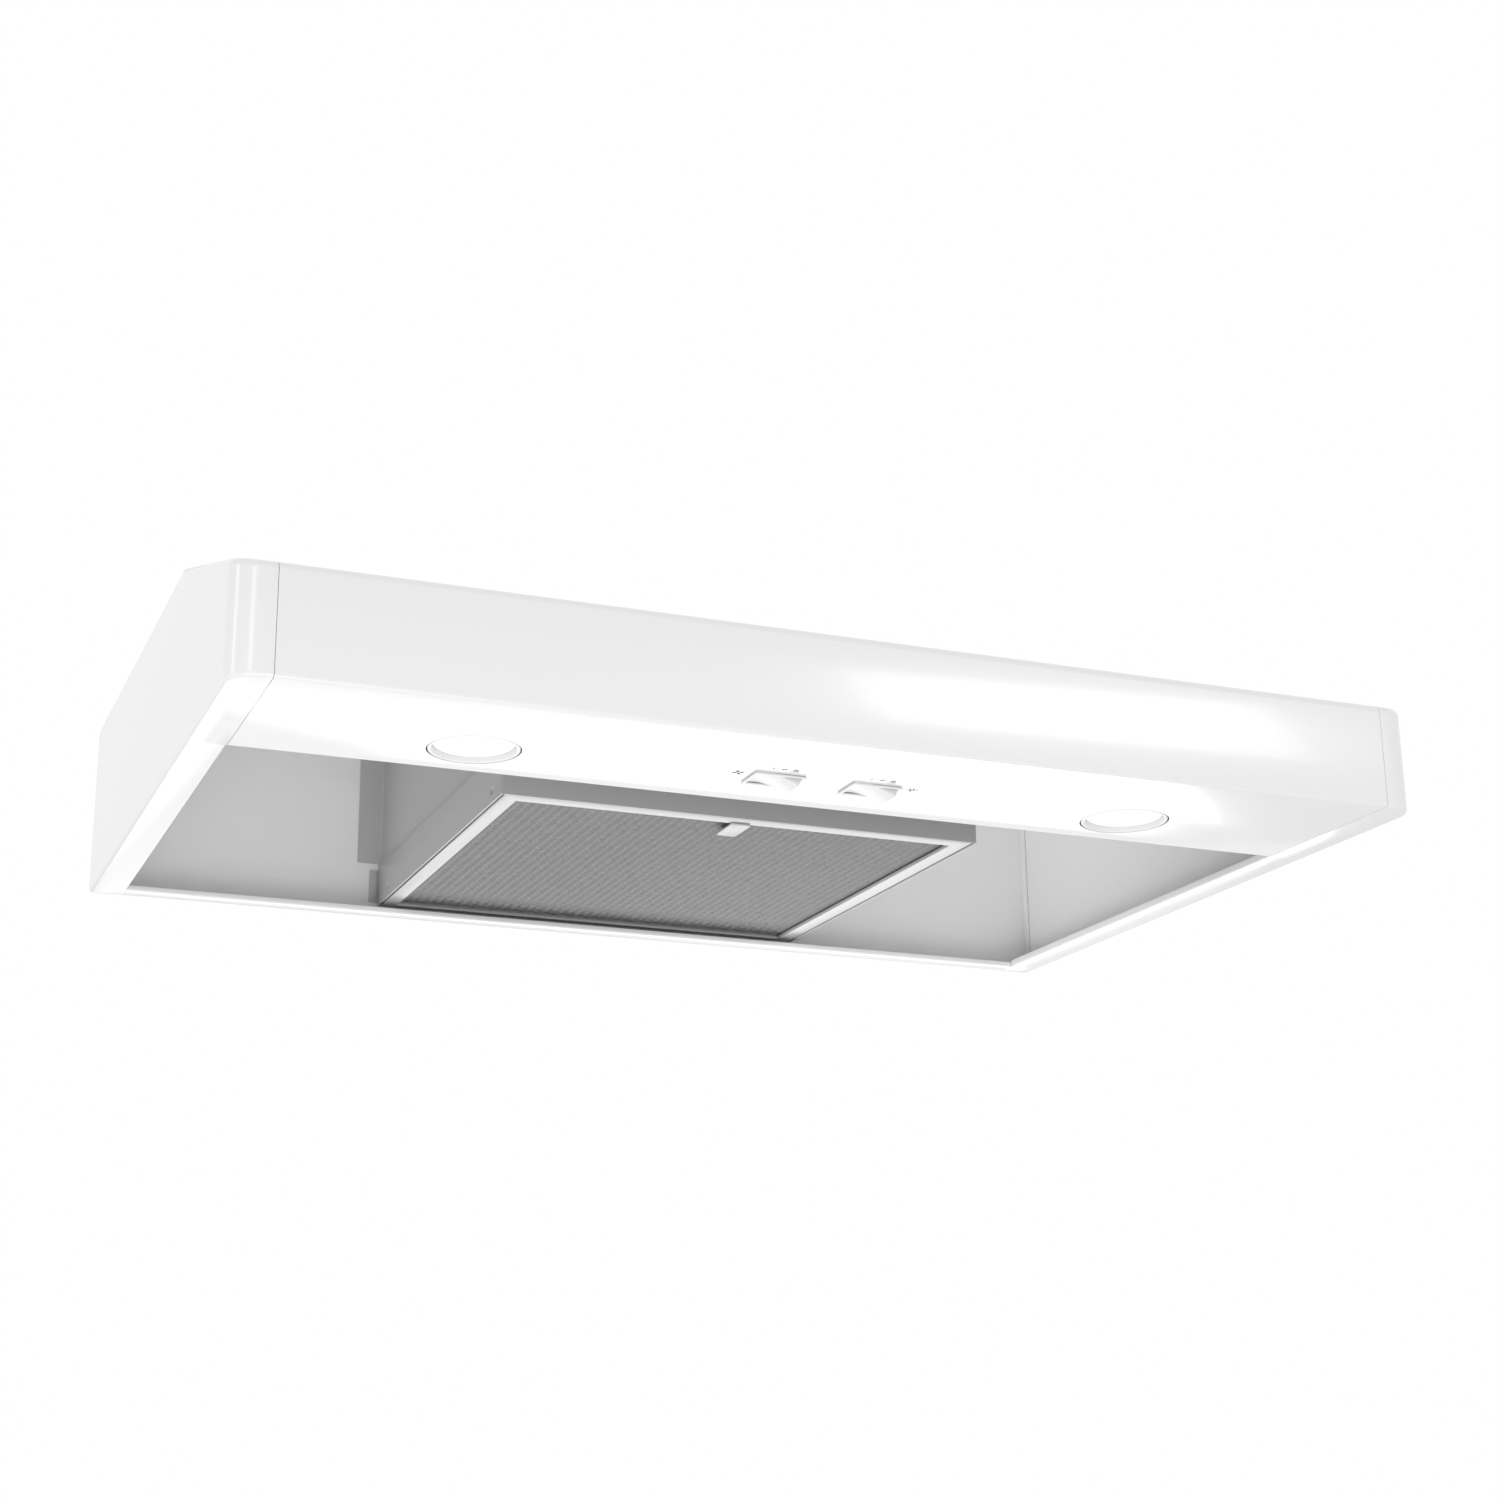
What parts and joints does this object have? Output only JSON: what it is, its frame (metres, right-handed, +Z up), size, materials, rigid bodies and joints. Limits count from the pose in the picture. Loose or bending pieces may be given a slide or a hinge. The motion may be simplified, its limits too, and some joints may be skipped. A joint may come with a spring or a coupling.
{
  "type": "under cabinet range hood",
  "caption": "White steel under cabinet range hood: wrapped end panels, lip with recessed lamps and rocker switches, mesh grease filter under a blower box.",
  "frame": {"origin": "centre of the flat top, on the face that goes up against the cabinet", "axes": "+X along the width to the user's right, +Y towards the wall, +Z up"},
  "size_m": [0.759, 0.508, 0.1682],
  "materials": {
    "enamel": "gloss white baked enamel",
    "inner_enamel": "satin grey-white enamel",
    "galvanised": "galvanised with a faint spangle",
    "steel": "satin zinc plate",
    "aluminium": "satin",
    "mesh": "expanded mesh, matt",
    "white_plastic": "semi-gloss moulded",
    "dark_plastic": "matt moulded",
    "rubber": "matt",
    "cable": "soft sheath",
    "lens": "frosted lens",
    "ceramic": "unglazed ceramic"
  },
  "bodies": {
    "canopy": {"front_panel": "enamel", "top_panel": "enamel", "back_panel": "enamel", "left_end_panel": "enamel", "right_end_panel": "enamel", "compartment_cover": "inner_enamel", "filter_skirt": "inner_enamel", "air_box": "inner_enamel", "orifice_plate": "galvanised", "scroll_wall": "galvanised", "duct_collar": "galvanised", "damper_rod": "steel", "motor_body": "steel", "motor_plate": "galvanised", "motor_bushing_1": "rubber", "motor_bushing_2": "rubber", "motor_bushing_3": "rubber", "motor_screw_1": "steel", "motor_screw_2": "steel", "motor_screw_3": "steel", "capacitor": "dark_plastic", "capacitor_strap": "galvanised", "filter_spring_left": "steel", "filter_spring_right": "steel", "lamp_ring_left": "white_plastic", "lamp_cup_left": "galvanised", "lamp_socket_left": "ceramic", "lamp_ring_right": "white_plastic", "lamp_cup_right": "galvanised", "lamp_socket_right": "ceramic", "switch_body_fan": "dark_plastic", "switch_bezel_fan": "white_plastic", "switch_body_light": "dark_plastic", "switch_bezel_light": "white_plastic", "wiring_box": "galvanised", "wiring_box_cover": "galvanised", "wiring_box_screw": "steel", "terminal_block": "white_plastic", "cable_bushing": "dark_plastic", "loom_grommet": "rubber", "wiring_loom": "cable", "motor_cable": "cable"},
    "grease_filter": {"filter_frame": "aluminium", "filter_mesh": "mesh", "filter_tab": "aluminium"},
    "blower_rotor": {"blower_wheel": "galvanised", "wheel_hub": "aluminium", "motor_shaft": "steel"},
    "damper": {"damper_flap": "galvanised"},
    "fan_rocker": {"rocker_fan": "white_plastic"},
    "light_rocker": {"rocker_light": "white_plastic"},
    "left_lamp": {"lamp_left": "lens"},
    "right_lamp": {"lamp_right": "lens"}
  },
  "joints": [
    {"name": "filter_swing", "type": "hinge", "parent": "canopy", "child": "grease_filter", "pos_m": [0, 0.1624, -0.116], "axis": [1, 0, 0], "range_deg": [0, 22]},
    {"name": "blower_spin", "type": "hinge", "parent": "canopy", "child": "blower_rotor", "pos_m": [-0.012, -0.0233, -0.05], "axis": [0, 0, 1], "continuous": true},
    {"name": "damper_swing", "type": "hinge", "parent": "canopy", "child": "damper", "pos_m": [0, 0.1506, 0.009], "axis": [-1, 0, 0], "range_deg": [0, 75]},
    {"name": "fan_rocker_tilt", "type": "hinge", "parent": "canopy", "child": "fan_rocker", "pos_m": [-0.03, -0.2595, -0.123], "axis": [0, -1, 0], "range_deg": [0, 24]},
    {"name": "light_rocker_tilt", "type": "hinge", "parent": "canopy", "child": "light_rocker", "pos_m": [0.0345, -0.2595, -0.123], "axis": [0, -1, 0], "range_deg": [0, 24]},
    {"name": "left_lamp_twist", "type": "hinge", "parent": "canopy", "child": "left_lamp", "pos_m": [-0.2175, -0.2525, -0.1], "axis": [0, 0, 1], "range_deg": [0, 30]},
    {"name": "right_lamp_twist", "type": "hinge", "parent": "canopy", "child": "right_lamp", "pos_m": [0.2175, -0.2525, -0.1], "axis": [0, 0, 1], "range_deg": [0, 30]}
  ]
}
